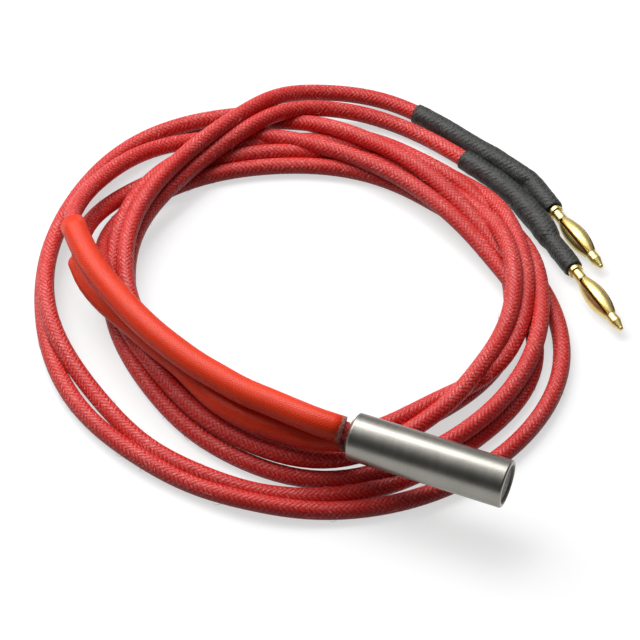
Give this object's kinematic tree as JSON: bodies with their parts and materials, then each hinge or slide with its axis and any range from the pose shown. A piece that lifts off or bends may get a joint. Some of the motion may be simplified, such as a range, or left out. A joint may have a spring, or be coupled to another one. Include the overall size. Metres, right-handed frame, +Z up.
{
  "type": "cartridge heater",
  "caption": "Small cartridge heater: a ground steel sheath round a wound ceramic core, with sleeved glass-braid leads in a loose coil that end in sprung bullet plugs.",
  "frame": {"origin": "centre of the sheath's mouth, where the leads come out", "axes": "+X along the sheath to its closed end, +Z up from the table that the coil lies on"},
  "size_m": [0.0733, 0.0742, 0.0119],
  "materials": {
    "sheath_steel": "ground satin",
    "ceramic": "unglazed ceramic",
    "resistance_wire": "oxidised",
    "nickel": "plain",
    "cement": "rough",
    "silicone_sleeve": "smooth satin",
    "glass_braid": "braided",
    "heat_shrink": "wrinkled satin",
    "copper_strand": "tinned strand",
    "gold_plate": "polished"
  },
  "bodies": {
    "root": {"sheath": "sheath_steel", "end_disc": "sheath_steel", "end_washer": "ceramic", "ceramic_core": "ceramic", "heating_wire": "resistance_wire", "magnesia_fill": "ceramic", "terminal_pin_a": "nickel", "terminal_pin_b": "nickel", "crimp_a": "nickel", "crimp_b": "nickel", "conductor_a": "copper_strand", "conductor_b": "copper_strand", "mouth_seal": "cement", "sleeve_a": "silicone_sleeve", "sleeve_b": "silicone_sleeve", "lead_a": "glass_braid", "lead_b": "glass_braid", "lead_coil": "glass_braid", "tail_a": "glass_braid", "tail_b": "glass_braid", "heat_shrink_a": "heat_shrink", "heat_shrink_b": "heat_shrink", "wire_end_a": "copper_strand", "wire_end_b": "copper_strand", "plug_body_a": "gold_plate", "plug_body_b": "gold_plate", "plug_spring_a": "gold_plate", "plug_spring_b": "gold_plate"}
  },
  "joints": []
}
